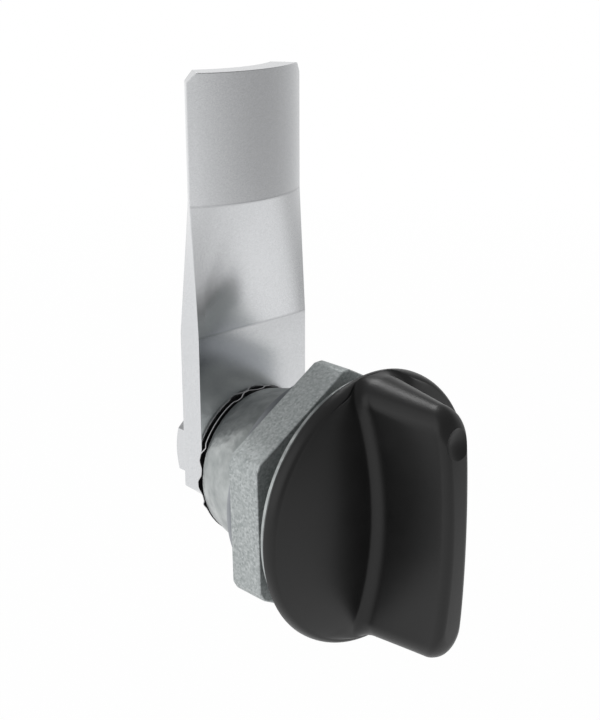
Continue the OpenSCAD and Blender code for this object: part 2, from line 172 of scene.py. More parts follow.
# Cam
CAM_HALF_W = CAM_HIGH.x
CAM_TIP_Z = CAM_HIGH.z
CAM_T = 3.5
CAM_CREASES = (18.3, 34.4)
TIP_R = 15.3
TIP_FORWARD = 1.9
TIP_CHAMFER = 1.2
TIP_HALF = math.asin(CAM_HALF_W / TIP_R)
CAM_FRONT = CAM_LOW.y + TIP_FORWARD
FOOT_CORNER = 2.1
FOOT_HALF_W = 3
CAM_SQUARE = 8.1
CAM_EDGE = 0.12
CAM_COLUMNS = 94
CAM_ROWS = 24
# Width of the painted shade line along each bend
BEND_SHADE_WIDTH = 0.22

# Washers: the waved one, which lies low between its crimped stretches below the axis
WAVE_T = 0.15
WAVE_IN_R = 7.9
WAVE_COUNT = 17
WAVE_CREST = math.radians(12.3)
WAVE_GAIN = 1.3
WAVE_EDGE = 0.03
CRIMP_COUNT = 4
CRIMP_ANGLE = math.radians(48)
CRIMP_TURN = math.radians(2)
CRIMP_FADE = (math.radians(-2), math.radians(3))
LOW_REST = 0.9
LOW_REST_REACH = 4

# Washers: the others, and points of their meshes
THRUST_IN_R = 6.4
THRUST_EDGE = 0.08
SCREW_WASHER_BORE = 3.25
FLAT_EDGE = 0.15
LOCK_EDGE = 0.12
LOCK_SLIT = math.radians(10)
RING_STEPS = 720
SPLIT_STEPS = 240
RING_EDGE_STEPS = 3
EDGE_FACING = 0.35

# Cam screw
SCREW_MERGE = 0.001
SCREW_FLAT_DEG = 0.5
SCREW_EDGE = 0.12

# Finishes: how far the painted edge highlight reaches, and the tone of the painted shade line
# along a bend
EDGE_HIGHLIGHT_REACH = 0.3
BEND_SHADE_TONE = (0.2, 0.2, 0.21, 1)

# Camera of the photograph: where it stands, its turn, its tilt and its focal length
CAMERA_PLACE = Vector((-107.58, -103.03, 68.75))
CAMERA_AZIMUTH = math.radians(43.486)
CAMERA_PITCH = math.radians(18.779)
CAMERA_ROLL = math.radians(-0.122)
CAMERA_LENS = 67.66
CAMERA_NEAR = 10
CAMERA_FAR = 20000

# Floor: its place, its tone, and how its mirrored glow and its white change with metres
FLOOR_Z = -85
FLOOR_HALF = 4000
FLOOR_TONE = (0.8, 0.8, 0.8, 1)
FLOOR_DARK_WAY = (0.69, -0.72, 0)
FLOOR_DARK = 0.48
FLOOR_FADE = (0.33, 0.42)
FLOOR_WHITE = 0.97
FLOOR_WHITE_FADE = (0.3, 0.6)

# Surround: its even light, and its mirrored levels in front and behind, low and high
AMBIENT = 0.55
LOW_GLOW = (0.4, 0.9)
LOW_TURN = (-0.7, 0.5)
HIGH_GLOW = (0.32, 0.4)
HIGH_TURN = (-0.7, 0.7)
GLOW_RISE = (0.1, 0.6)

# Soft lights
LIGHT_AIM = Vector((0, 10, 10))
KEY_LIGHT = {"place": (-520, 40, 330), "size": 600, "watts": 0.9}
TOP_LIGHT = {"place": (120, 300, 425), "size": 170, "watts": 1.1}


# Helpers for shapes

def mix(a, b, share):
    """The value at a share of the way from a to b."""
    return a + (b - a) * share


def shares(steps):
    """Even shares from 0 up to 1."""
    return [i / steps for i in range(steps + 1)]


def soft_step(value, start, end):
    """A share that rises softly from 0 to 1 between two values."""
    share = min(1, max(0, (value - start) / (end - start)))
    return share * share * (3 - 2 * share)


def new_object(name, data):
    """A new object in the scene."""
    obj = bpy.data.objects.new(name, data)
    bpy.context.scene.collection.objects.link(obj)
    return obj


def from_bmesh(name, bm):
    """A new object from a shape in metres."""
    mesh = bpy.data.meshes.new(name)
    bm.to_mesh(mesh)
    bm.free()
    return new_object(name, mesh)


def mesh_piece(name, points, faces):
    """A mesh object from points in millimetres, with doubles merged and faces turned outwards."""
    bm = bmesh.new()
    verts = [bm.verts.new(Vector(p) * MM) for p in points]
    for face in faces:
        bm.faces.new([verts[i] for i in dict.fromkeys(face)])
    bmesh.ops.remove_doubles(bm, verts=bm.verts, dist=MERGE * MM)
    bmesh.ops.recalc_face_normals(bm, faces=bm.faces)
    return from_bmesh(name, bm)


def slab(name, size, middle):
    """A plain block that helps to cut a slot."""
    bm = bmesh.new()
    bmesh.ops.create_cube(bm, size=1)
    bmesh.ops.transform(bm, matrix=Matrix.Diagonal((*size, 1)), verts=bm.verts)
    return helper(name, bm, middle)


def ball(name, radius, middle):
    """A plain ball that helps to cut a hollow."""
    bm = bmesh.new()
    bmesh.ops.create_uvsphere(bm, u_segments=96, v_segments=48, radius=radius)
    return helper(name, bm, middle)


def helper(name, bm, middle):
    """A helper object from a shape in millimetres, moved to its place."""
    bmesh.ops.translate(bm, vec=middle, verts=bm.verts)
    bmesh.ops.scale(bm, vec=(MM, MM, MM), verts=bm.verts)
    return from_bmesh(name, bm)


def settle(obj):
    """Turns an object's modifiers into plain mesh."""
    graph = bpy.context.evaluated_depsgraph_get()
    mesh = bpy.data.meshes.new_from_object(obj.evaluated_get(graph))
    obj.modifiers.clear()
    obj.data = mesh


def carve(obj, cutter):
    """Cuts a helper's shape out of a piece."""
    modifier = obj.modifiers.new("carve", "BOOLEAN")
    modifier.operation = "DIFFERENCE"
    modifier.solver = "EXACT"
    modifier.object = cutter
    settle(obj)
    bpy.data.objects.remove(cutter)


def soften(obj, width, limit_deg, segments=3, hole=0):
    """Rounds edges that are sharper than a limit, apart from those of a square hole."""
    obj.data.shade_smooth()
    bm = bmesh.new()
    bm.from_mesh(obj.data)
    weight = bm.edges.layers.float.new("bevel_weight_edge")
    for edge in bm.edges:
        if edge.calc_face_angle(0) > math.radians(limit_deg):
            reach = max(max(abs(v.co.x), abs(v.co.z)) for v in edge.verts)
            edge.smooth = reach > (hole / 2 + SAME_PLACE) * MM
            edge[weight] = float(edge.smooth)
    bm.to_mesh(obj.data)
    bm.free()
    modifier = obj.modifiers.new("soften", "BEVEL")
    modifier.width = width * MM
    modifier.segments = segments
    modifier.limit_method = "WEIGHT"
    modifier.harden_normals = True
    settle(obj)


def shade(obj, sharp_deg):
    """Smooth shading, except over edges sharper than a limit."""
    obj.data.shade_smooth()
    obj.data.set_sharp_from_angle(angle=math.radians(sharp_deg))


def stand_for(obj, node, slot, *materials):
    """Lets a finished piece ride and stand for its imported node, in the materials given."""
    if materials:
        obj.data.materials.clear()
    for material in materials:
        obj.data.materials.append(material)
    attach(obj, frame["nodes"][node]["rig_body"])
    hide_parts(node)


def ring_faces(count, size, closed):
    """Quads over a stack of rings of equal size."""
    rows = count if closed else count - 1
    faces = []
    for k in range(rows):
        low = k * size
        high = (k + 1) % count * size
        for i in range(size):
            j = (i + 1) % size
            faces.append((low + i, low + j, high + j, high + i))
    return faces


def across(first, pairs):
    """Quads across a ring, between pairs of points that face each other."""
    return [
        (first + a, first + b, first + d, first + c)
        for (a, c), (b, d) in zip(pairs, pairs[1:])
    ]


def ring_stack(name, rings, pairs=None):
    """A piece from a stack of rings, closed on itself or by quads across its end rings."""
    size = len(rings[0])
    points = [p for ring in rings for p in ring]
    faces = ring_faces(len(rings), size, pairs is None)
    if pairs:
        faces += across(0, pairs) + across(size * (len(rings) - 1), pairs)
    return mesh_piece(name, points, faces)


def lathe(name, outline, steps=256):
    """A ring round the latch axis, from a closed outline of radius and place along the axis."""
    turns = [2 * math.pi * i / steps for i in range(steps)]
    rings = [[(r * math.sin(a), y, r * math.cos(a)) for a in turns] for r, y in outline]
    return ring_stack(name, rings)


def rounded(corners, steps=4):
    """A closed outline whose corners, each a point and a rounding, are turned into curves."""
    outline = []
    for i, (x, y, size) in enumerate(corners):
        here = Vector((x, y))
        if size == 0:
            outline.append(here)
            continue
        before = Vector(corners[i - 1][:2])
        after = Vector(corners[(i + 1) % len(corners)][:2])
        start = here + (before - here).normalized() * size
        end = here + (after - here).normalized() * size
        outline += [start.lerp(here, s).lerp(here.lerp(end, s), s) for s in shares(steps)]
    return outline


# Wing knob

def wing_quarter(waist, end, half_len, power):
    """A quarter of the wing's outline, from its side's middle to just short of its end's."""
    straight = half_len - OUTLINE_CORNER
    side = [
        (mix(waist, end, (i / SIDE_STEPS) ** 2), straight * i / SIDE_STEPS)
        for i in range(SIDE_STEPS)
    ]
    last = math.pi / 2 * (1 - 0.5 / CORNER_STEPS)
    angles = [last * s for s in shares(CORNER_STEPS)]
    rise = OUTLINE_CORNER + WING_END_BULGE
    corner = [
        (end * math.cos(a) ** (2 / power), straight + rise * math.sin(a) ** (2 / power))
        for a in angles
    ]
    return side + corner


def circle_quarter(radius):
    """A quarter of a circle with a point for each point of the wing's quarter."""
    straight = (WING_UP - OUTLINE_CORNER) / KNOB_R
    first = math.asin(straight)
    step = (math.pi / 2 - first) / (CORNER_STEPS + 1)
    angles = [math.asin(straight * i / SIDE_STEPS) for i in range(SIDE_STEPS)]
    angles += [first + step * i for i in range(CORNER_STEPS + 1)]
    return [(radius * math.cos(a), radius * math.sin(a)) for a in angles]


def whole_outline(upper, top, lower, bottom):
    """The closed outline from an upper and a lower quarter, starting and turning at their tips."""
    right = upper[::-1] + [(x, -z) for x, z in lower[1:]]
    left = [(-x, z) for x, z in right[::-1]]
    return [(0, top)] + right + [(0, -bottom)] + left


def wing_outline(waist, end, up, down, power):
    """The wing's outline, from its half thicknesses, its reaches and its ends' power."""
    upper = wing_quarter(waist, end, up, power)
    lower = wing_quarter(waist, end, down, power)
    return whole_outline(upper, up + WING_END_BULGE, lower, down + WING_END_BULGE)


def circle_outline(radius):
    """A circle with a point for each point of the wing's outline."""
    quarter = circle_quarter(radius)
    return whole_outline(quarter, radius, quarter, radius)


def sunk(x, z):
    """Share by which the base sinks below the wing's upper end."""
    return (1 - soft_step(abs(x), BLEND_IN, BLEND_OUT)) * soft_step(z, SINK_FROM, SINK_TO)


def rim_outline(rounding):
    """The base's outline at a share of its rim's rounding, with none where the base sinks."""
    outline = []
    for x, z in circle_outline(KNOB_R):
        scale = 1 - KNOB_RIM_IN * (1 - sunk(x, z)) * rounding / KNOB_R
        outline.append((x * scale, z * scale))
    return outline


def rim_height(x, z):
    """Height of the rim's inner edge."""
    return mix(KNOB_RIM_H, SUNK_H, sunk(x, z))


def dome_height(x, z):
    """Height of the base beside the wing."""
    return mix(DOME_H - (DOME_H - DOME_END_H) * (z / KNOB_R) ** 2, SUNK_H, sunk(x, z))


def front_height(z):
    """Height of the wing's front edge."""
    return WING_H - WING_CROWN * (z / WING_UP) ** 2


def edge_rounding(z, up, down):
    """Rounding of the front edge: small along the sides and large at the ends."""
    share = min(1, z / up if z > 0 else -z / down) ** END_SHARPNESS
    return mix(FRONT_ROUND, CORNER_ROUND, share)


def base_rings():
    """Rings of the knob's base, from the skirt's floor out, round the rim and over the dome."""
    rings = [[(x, -SKIRT_DEPTH, z) for x, z in circle_outline(SKIRT_R)]]
    for radius in (SKIRT_R, KNOB_R - KNOB_BACK_IN):
        rings.append([(x, -KNOB_BACK, z) for x, z in circle_outline(radius)])
    for share in shares(RIM_STEPS)[:-1]:
        turn = math.pi / 2 * share
        rise = math.sin(turn)
        outline = rim_outline(1 - math.cos(turn))
        rings.append([(x, -mix(KNOB_WIDE_H, rim_height(x, z), rise), z) for x, z in outline])
    rim = rim_outline(1)
    root = wing_outline(
        WING_WAIST + ROOT_FILLET, WING_END + ROOT_FILLET, WING_UP, WING_DOWN, ROOT_POWER)
    for share in shares(DOME_STEPS):
        rise = math.sin(math.pi / 2 * share)
        ring = []
        for (rim_x, rim_z), (root_x, root_z) in zip(rim, root):
            x = mix(rim_x, root_x, share)
            z = mix(rim_z, root_z, share)
            ring.append((x, -mix(rim_height(rim_x, rim_z), dome_height(x, z), rise), z))
        rings.append(ring)
    return rings


def wing_rings():
    """Rings of the knob's wing, up its root fillet, its walls and its rounded front edge."""
    rings = []
    for share in shares(ROUND_STEPS)[1:]:
        turn = math.pi / 2 * share
        out = ROOT_FILLET * (1 - math.sin(turn))
        rise = ROOT_RISE * (1 - math.cos(turn))
        power = mix(ROOT_POWER, WALL_POWER, math.sin(turn))
        outline = wing_outline(WING_WAIST + out, WING_END + out, WING_UP, WING_DOWN, power)
        rings.append([(x, -(dome_height(x, z) + rise), z) for x, z in outline])
    for share in shares(WALL_STEPS)[1:]:
        up = WING_UP - WING_UP_DRAFT * share
        down = WING_DOWN - WING_DOWN_DRAFT * share
        end = WING_END - WING_END_TAPER * share
        ring = []
        for x, z in wing_outline(WING_WAIST, end, up, down, WALL_POWER):
            foot = dome_height(x, z) + ROOT_RISE
            head = front_height(z) - edge_rounding(z, up, down)
            ring.append((x, -mix(foot, head, share), z))
        rings.append(ring)
    for share in shares(ROUND_STEPS)[1:]:
        turn = math.pi / 2 * share
        inset = 1 - math.cos(turn)
        drop = 1 - math.sin(turn)
        up = WING_UP - WING_UP_DRAFT - CORNER_ROUND * inset
        down = WING_DOWN - WING_DOWN_DRAFT - CORNER_ROUND * inset
        waist = WING_WAIST - FRONT_ROUND * inset
        end = WING_END - WING_END_TAPER - FRONT_ROUND * inset
        ring = []
        for x, z in wing_outline(waist, end, up, down, WALL_POWER):
            ring.append((x, -(front_height(z) - edge_rounding(z, up, down) * drop), z))
        rings.append(ring)
    return rings


def wing_knob(plastic):
    """The moulded knob, with its position mark and the slot for the spindle's tang."""
    rings = base_rings() + wing_rings()
    size = len(rings[0])
    pairs = [(i, (size - i) % size) for i in range(size // 2 + 1)]
    knob = ring_stack("moulded_wing_knob", rings, pairs)
    slot_y = -SKIRT_DEPTH - TANG[1] / 2 + SLOT_OVERLAP
    carve(knob, slab("tang_slot", TANG, (0, slot_y, 0)))
    mark_y = -front_height(MARK_Z) - MARK_R + MARK_DEPTH
    carve(knob, ball("mark_hollow", MARK_R, (0, mark_y, MARK_Z)))
    shade(knob, sharp_deg=32)
    stand_for(knob, "wing_knob", "black_plastic", plastic)


# Housing and nut

def housing(metal):
    """The flanged barrel, with its pocket, seal groove and lead-in cone."""
    groove_in = BARREL_R + GROOVE_IN
    groove_out = SEAL_HIGH.x + SEAL_GAP
    pocket_floor = BOSS_FRONT + POCKET_DEPTH
    outline = rounded([
        (POCKET_R, BOSS_FRONT, 0),
        (BOSS_R, BOSS_FRONT, FINE_ROUND),
        (BOSS_R, -FLANGE_T, 0),
        (FLANGE_R, -FLANGE_T, FLANGE_ROUND),
        (FLANGE_R, 0, FLANGE_ROUND),
        (groove_out, 0, GROOVE_ROUND),
        (groove_out, -GROOVE_DEPTH, 0),
        (groove_in, -GROOVE_DEPTH, 0),
        (groove_in, 0, GROOVE_ROUND),
        (BARREL_R, 0, FINE_ROUND),
        (BARREL_R, BARREL_LEN - LEAD_LEN, LEAD_ROUND),
        (BARREL_END_R, BARREL_LEN, BARREL_END_ROUND),
        (BORE_R, BARREL_LEN, FINE_ROUND),
        (BORE_R, pocket_floor, 0),
        (POCKET_R, pocket_floor, 0),
    ])
    barrel = lathe("flanged_housing", outline)
    shade(barrel, sharp_deg=40)
    stand_for(barrel, "housing", "bright_zinc", metal)


def nut_turns():
    """Angles round the nut, from straight up, with the radius of its blunted hexagon at each."""
    step = math.pi / 3
    corner_r = NUT_AF / math.sqrt(3)
    blunt_r = corner_r - NUT_BLUNT_W / 2 / math.tan(step)
    blunt_half = math.atan(NUT_BLUNT_W / 2 / blunt_r)
    turns = []
    for k in range(6):
        corner = NUT_TURN + step * k
        turns.append((corner - blunt_half, blunt_r / math.cos(blunt_half)))
        for s in shares(NUT_FLAT_STEPS)[:-1]:
            off = mix(blunt_half, step - blunt_half, s)
            turns.append((corner + off, NUT_AF / 2 / math.cos(off - step / 2)))
    return turns


def nut_ring(turns, radius, y):
    """A ring of the nut at a place along the axis, round or, without a radius, hexagonal."""
    return [
        ((radius or hexagon) * math.sin(a), y, (radius or hexagon) * math.cos(a))
        for a, hexagon in turns
    ]


def mounting_nut(metal, turned_metal_painted_shade):
    """The cast hexagon nut with blunted corners and a round turned collar behind."""
    turns = nut_turns()
    nut = ring_stack("cast_mounting_nut", [
        nut_ring(turns, NUT_BORE_R, NUT_LOW.y),
        nut_ring(turns, None, NUT_LOW.y),
        nut_ring(turns, None, NUT_BACK),
        nut_ring(turns, NUT_COLLAR_R, NUT_BACK),
        nut_ring(turns, NUT_COLLAR_R, NUT_HIGH.y),
        nut_ring(turns, NUT_BORE_R, NUT_HIGH.y),
    ])
    soften(nut, NUT_EDGE, limit_deg=20)
    stand_for(nut, "mounting_nut", "zinc_casting", metal, turned_metal_painted_shade)
    for face in nut.data.polygons:
        face.material_index = int(face.center.y > (NUT_BACK + NUT_COLLAR_START) * MM)


# Cam

def cam_point(across_share, roll, z, depth):
    """A point of the cam, by its shares of the half width and of the roll, height and depth."""
    radius = TIP_R - depth
    turn = across_share * TIP_HALF
    flat = Vector((across_share * CAM_HALF_W, CAM_FRONT + depth, z))
    middle_y = CAM_FRONT - TIP_FORWARD + TIP_R
    rolled = Vector((radius * math.sin(turn), middle_y - radius * math.cos(turn), z))
    return flat.lerp(rolled, roll)


def cam_plate(steel):
    """The pressed cam: a flat with slanted foot corners, a ruled transition and a rolled tip."""
    inner = 1 - TIP_CHAMFER / (TIP_R * TIP_HALF)
    columns = [-1] + [inner * (2 * s - 1) for s in shares(CAM_COLUMNS - 2)] + [1]
    foot = FOOT_HALF_W / CAM_HALF_W
    stations = [(CAM_LOW.z, foot, 0, 0), (-FOOT_CORNER, 1, 0, 0)]
    stations += [(mix(*CAM_CREASES, s), 1, s, 0) for s in shares(CAM_ROWS)]
    stations.append((CAM_TIP_Z, 1, 1, TIP_CHAMFER))
    rings = []
    for z, width, roll, drop in stations:
        ring = []
        for depth, order in ((0, columns), (CAM_T, columns[::-1])):
            for v in order:
                height = z - (drop if abs(v) == 1 else 0)
                ring.append(cam_point(v * width, roll, height, depth))
        rings.append(ring)
    pairs = [(i, 2 * len(columns) - 1 - i) for i in range(len(columns))]
    cam = ring_stack("pressed_cam", rings, pairs)
    hole = (CAM_SQUARE, 4 * CAM_T, CAM_SQUARE)
    carve(cam, slab("square_hole", hole, (0, CAM_FRONT, 0)))
    mark_creases(cam)
    soften(cam, CAM_EDGE, limit_deg=30, hole=CAM_SQUARE)
    stand_for(cam, "cam", "plated_steel", steel)


def mark_creases(cam):
    """Keeps the two bends across the cam crisp."""
    mesh = cam.data
    for edge in mesh.edges:
        ends = [mesh.vertices[i].co.z / MM for i in edge.vertices]
        edge.use_edge_sharp = any(
            max(abs(z - crease) for z in ends) < SAME_PLACE for crease in CAM_CREASES)


# Nodes of shaders and shapes

FLOAT = "NodeSocketFloat"
VECTOR = "NodeSocketVector"


def dress(tree, node, inputs):
    """Sets a node's inputs to plain values or links them to other nodes' outputs."""
    for name, value in inputs.items():
        if isinstance(value, bpy.types.NodeSocket):
            tree.links.new(value, node.inputs[name])
        else:
            node.inputs[name].default_value = value


def add(tree, kind, inputs=None, **settings):
    """A node with its settings and inputs."""
    made = tree.nodes.new(kind)
    for name, value in settings.items():
        setattr(made, name, value)
    dress(tree, made, inputs or {})
    return made


def new_group(kind, name, inputs, outputs):
    """An empty node group with its sockets, and what its inputs give."""
    tree = bpy.data.node_groups.new(name, kind)
    for way, sockets in (("INPUT", inputs), ("OUTPUT", outputs)):
        for socket, socket_kind in sockets.items():
            tree.interface.new_socket(socket, in_out=way, socket_type=socket_kind)
    return tree, add(tree, "NodeGroupInput").outputs


def math_node(tree, operation, *values):
    """The result of a sum on values or other nodes' outputs."""
    return add(tree, "ShaderNodeMath", dict(enumerate(values)), operation=operation).outputs[0]


def vector_node(tree, operation, *values, result="Vector"):
    """The result of a sum on vectors."""
    made = add(tree, "ShaderNodeVectorMath", dict(enumerate(values)), operation=operation)
    return made.outputs[result]


def parts_of(tree, vector):
    """The three parts of a vector."""
    return add(tree, "ShaderNodeSeparateXYZ", {0: vector}).outputs


def span(tree, value, low, high, start=0.0, end=1.0, **settings):
    """A value carried from one range over to another."""
    inputs = {"Value": value, "From Min": start, "From Max": end, "To Min": low, "To Max": high}
    return add(tree, "ShaderNodeMapRange", inputs, **settings).outputs["Result"]


def soft_span(tree, value, low, high, start, end):
    """A value carried from one range over to another, with soft ends."""
    return span(tree, value, low, high, start, end, interpolation_type="SMOOTHSTEP")


def tones(tree, value, low, high):
    """Colours between two tones, by a value from 0 to 1."""
    ramp = add(tree, "ShaderNodeValToRGB", {"Fac": value})
    ramp.color_ramp.elements[0].color = (*low, 1)
    ramp.color_ramp.elements[1].color = (*high, 1)
    return ramp.outputs["Color"]


# Washers

RING_LENGTHS = (
    "Inner radius", "Outer radius", "Front", "Back", "Sheet thickness", "Edge rounding")
RING_FORMS = (
    "Waves", "Crest angle", "Waved stretches", "Stretch angle", "First stretch", "Low rest",
    "Slit angle")
RING_INPUTS = {
    **dict.fromkeys(RING_LENGTHS + RING_FORMS, FLOAT),
    **dict.fromkeys(("Sheet", "Edge"), "NodeSocketMaterial"),
}


def wave_lift(tree, take):
    """Lift of the sheet round a washer: waves on its waved stretches and its rest between them."""
    parts = parts_of(tree, add(tree, "GeometryNodeInputPosition").outputs[0])
    up = math_node(tree, "MULTIPLY", parts["Y"], -1.0)
    angle = math_node(tree, "ARCTAN2", parts["X"], up)
    half_pitch = math_node(tree, "DIVIDE", math.pi, take["Waved stretches"])
    low_pitch = math_node(tree, "MULTIPLY", half_pitch, -1.0)
    off = math_node(tree, "SUBTRACT", angle, take["First stretch"])
    off = math_node(tree, "WRAP", off, half_pitch, low_pitch)
    half_stretch = math_node(tree, "MULTIPLY", take["Stretch angle"], 0.5)
    off = math_node(tree, "SUBTRACT", math_node(tree, "ABSOLUTE", off), half_stretch)
    inside = soft_span(tree, off, 1.0, 0.0, *CRIMP_FADE)
    turn = math_node(tree, "SUBTRACT", angle, take["Crest angle"])
    wave = math_node(tree, "COSINE", math_node(tree, "MULTIPLY", turn, take["Waves"]))
    wave = math_node(tree, "MULTIPLY", wave, WAVE_GAIN)
    wave = math_node(tree, "MAXIMUM", math_node(tree, "MINIMUM", wave, 1.0), -1.0)
    room = math_node(tree, "SUBTRACT", take["Back"], take["Front"])
    room = math_node(tree, "SUBTRACT", room, take["Sheet thickness"])
    half_room = math_node(tree, "MULTIPLY", room, 0.5)
    rest = span(tree, parts["Y"], 0.0, take["Low rest"], 0.0, LOW_REST_REACH * MM)
    rest = math_node(tree, "MULTIPLY", rest, math_node(tree, "SUBTRACT", 1.0, inside))
    share = math_node(tree, "SUBTRACT", math_node(tree, "MULTIPLY", wave, inside), rest)
    return math_node(tree, "MULTIPLY", share, half_room)


def ring_path(tree, take):
    """The middle line of a washer: a circle, or an arc where the washer is slit."""
    both = math_node(tree, "ADD", take["Outer radius"], take["Inner radius"])
    middle = math_node(tree, "MULTIPLY", both, 0.5)
    whole = add(tree, "GeometryNodeCurvePrimitiveCircle",
                {"Resolution": RING_STEPS, "Radius": middle})
    half_slit = math_node(tree, "MULTIPLY", take["Slit angle"], 0.5)
    split = add(tree, "GeometryNodeCurveArc", {
        "Resolution": SPLIT_STEPS,
        "Radius": middle,
        "Start Angle": math_node(tree, "SUBTRACT", half_slit, math.pi / 2),
        "Sweep Angle": math_node(tree, "SUBTRACT", 2 * math.pi, take["Slit angle"]),
    })
    path = add(tree, "GeometryNodeSwitch", {
        "Switch": math_node(tree, "GREATER_THAN", take["Slit angle"], 0.0),
        "False": whole.outputs["Curve"],
        "True": split.outputs["Curve"],
    }, input_type="GEOMETRY")
    return path.outputs[0]


def ring_section(tree, take):
    """The section of a washer's sheet, with rounded corners."""
    width = math_node(tree, "SUBTRACT", take["Outer radius"], take["Inner radius"])
    section = add(tree, "GeometryNodeCurvePrimitiveQuadrilateral",
                  {"Width": width, "Height": take["Sheet thickness"]})
    rounding = add(tree, "GeometryNodeFilletCurve", {
        "Curve": section.outputs[0],
        "Count": RING_EDGE_STEPS,
        "Radius": take["Edge rounding"],
    }, mode="POLY")
    return rounding.outputs[0]


def edge_and_sheet(tree, take, skin):
    """Sets the sheet's finish, and the edge's finish on faces that look in or out."""
    place = add(tree, "GeometryNodeInputPosition").outputs[0]
    normal = add(tree, "GeometryNodeInputNormal").outputs[0]
    outward = vector_node(tree, "NORMALIZE", vector_node(tree, "MULTIPLY", place, (1, 0, 1)))
    facing = vector_node(tree, "DOT_PRODUCT", normal, outward, result="Value")
    is_edge = math_node(tree, "GREATER_THAN", math_node(tree, "ABSOLUTE", facing), EDGE_FACING)
    real = add(tree, "GeometryNodeRealizeInstances", {"Geometry": skin})
    sheet = add(tree, "GeometryNodeSetMaterial",
                {"Geometry": real.outputs[0], "Material": take["Sheet"]})
    edge = add(tree, "GeometryNodeSetMaterial", {
        "Geometry": sheet.outputs[0],
        "Selection": is_edge,
        "Material": take["Edge"],
    })
    return edge.outputs[0]


def ring_tree():
    """Nodes of a washer: a flat, waved or slit ring round the axis, with its own edge finish."""
    tree, take = new_group(
        "GeometryNodeTree", "washer_ring", RING_INPUTS, {"Ring": "NodeSocketGeometry"})
    lift = add(tree, "ShaderNodeCombineXYZ", {"Z": wave_lift(tree, take)})
    waved = add(tree, "GeometryNodeSetPosition",
                {"Geometry": ring_path(tree, take), "Offset": lift.outputs[0]})
    upright = add(tree, "GeometryNodeSetCurveNormal", {"Curve": waved.outputs[0]}, mode="Z_UP")
    skin = add(tree, "GeometryNodeCurveToMesh", {
        "Curve": upright.outputs[0],
        "Profile Curve": ring_section(tree, take),
        "Fill Caps": True,
    })
    both = math_node(tree, "ADD", take["Front"], take["Back"])
    shift = add(tree, "ShaderNodeCombineXYZ", {"Y": math_node(tree, "MULTIPLY", both, 0.5)})
    placed = add(tree, "GeometryNodeTransform", {
        "Geometry": skin.outputs[0],
        "Translation": shift.outputs[0],
        "Rotation": (-math.pi / 2, 0, 0),
    })
    add(tree, "NodeGroupOutput", {"Ring": edge_and_sheet(tree, take, placed.outputs[0])})
    return tree


def washer(tree, name, node, slot, values):
    """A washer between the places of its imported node, made by the ring's nodes."""
    low, high = box_mm(node)
    obj = new_object(name, bpy.data.meshes.new(name))
    modifier = obj.modifiers.new("ring", "NODES")
    modifier.node_group = tree
    inputs = {
        **dict.fromkeys(RING_FORMS, 0.0),
        "Waved stretches": 1.0,
        "Outer radius": high.x,
        "Front": low.y,
        "Back": high.y,
        "Sheet thickness": high.y - low.y,
        **values,
    }
    for item in tree.interface.items_tree:
        if item.name in inputs:
            value = inputs[item.name]
            modifier[item.identifier] = value * MM if item.name in RING_LENGTHS else value
    settle(obj)
    shade(obj, sharp_deg=30)
    stand_for(obj, node, slot)


def washers(steel, sheet, bright_edge):
    """The four washers: waved and thrust in front of the cam, flat and slit behind it."""
    tree = ring_tree()
    washer(tree, "waved_spring_washer", "wave_washer", "spring_steel", {
        "Inner radius": WAVE_IN_R,
        "Sheet thickness": WAVE_T,
        "Edge rounding": WAVE_EDGE,
        "Waves": float(WAVE_COUNT),
        "Crest angle": WAVE_CREST,
        "Waved stretches": float(CRIMP_COUNT),
        "Stretch angle": CRIMP_ANGLE,
        "First stretch": CRIMP_TURN,
        "Low rest": LOW_REST,
        "Sheet": sheet,
        "Edge": bright_edge,
    })
    washer(tree, "thrust_ring", "thrust_washer", "spring_steel", {
        "Inner radius": THRUST_IN_R,
        "Edge rounding": THRUST_EDGE,
        "Sheet": sheet,
        "Edge": sheet,
    })
    plated = {"Inner radius": SCREW_WASHER_BORE, "Sheet": steel, "Edge": steel}
    washer(tree, "plain_flat_washer", "flat_washer", "plated_steel",
           {**plated, "Edge rounding": FLAT_EDGE})
    washer(tree, "slit_lock_washer", "spring_lock_washer", "plated_steel",
           {**plated, "Edge rounding": LOCK_EDGE, "Slit angle": LOCK_SLIT})


def cam_screw(steel):
    """The hexagon screw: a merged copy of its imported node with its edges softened."""
    mesh = frame["nodes"]["cam_screw"].data.copy()
    bm = bmesh.new()
    bm.from_mesh(mesh)
    bmesh.ops.remove_doubles(bm, verts=bm.verts, dist=SCREW_MERGE * MM)
    bmesh.ops.dissolve_limit(
        bm, angle_limit=math.radians(SCREW_FLAT_DEG), verts=bm.verts, edges=bm.edges)
    bm.to_mesh(mesh)
    bm.free()
    screw = new_object("hexagon_screw", mesh)
    soften(screw, SCREW_EDGE, limit_deg=25, segments=2)
    stand_for(screw, "cam_screw", "plated_steel", steel)


# Shared effects of the finishes, one of them a painted edge highlight

def cloud_group():
    """Soft patches: a value from 0 to 1 that wanders over the surface."""
    tree, take = new_group(
        "ShaderNodeTree", "soft_patches", {"Place": VECTOR, "Scale": FLOAT}, {"Value": FLOAT})
    noise = add(tree, "ShaderNodeTexNoise",
                {"Vector": take["Place"], "Scale": take["Scale"], "Detail": 3.0})
    add(tree, "NodeGroupOutput", {"Value": span(tree, noise.outputs[0], 0.0, 1.0, 0.3, 0.7)})
    return tree


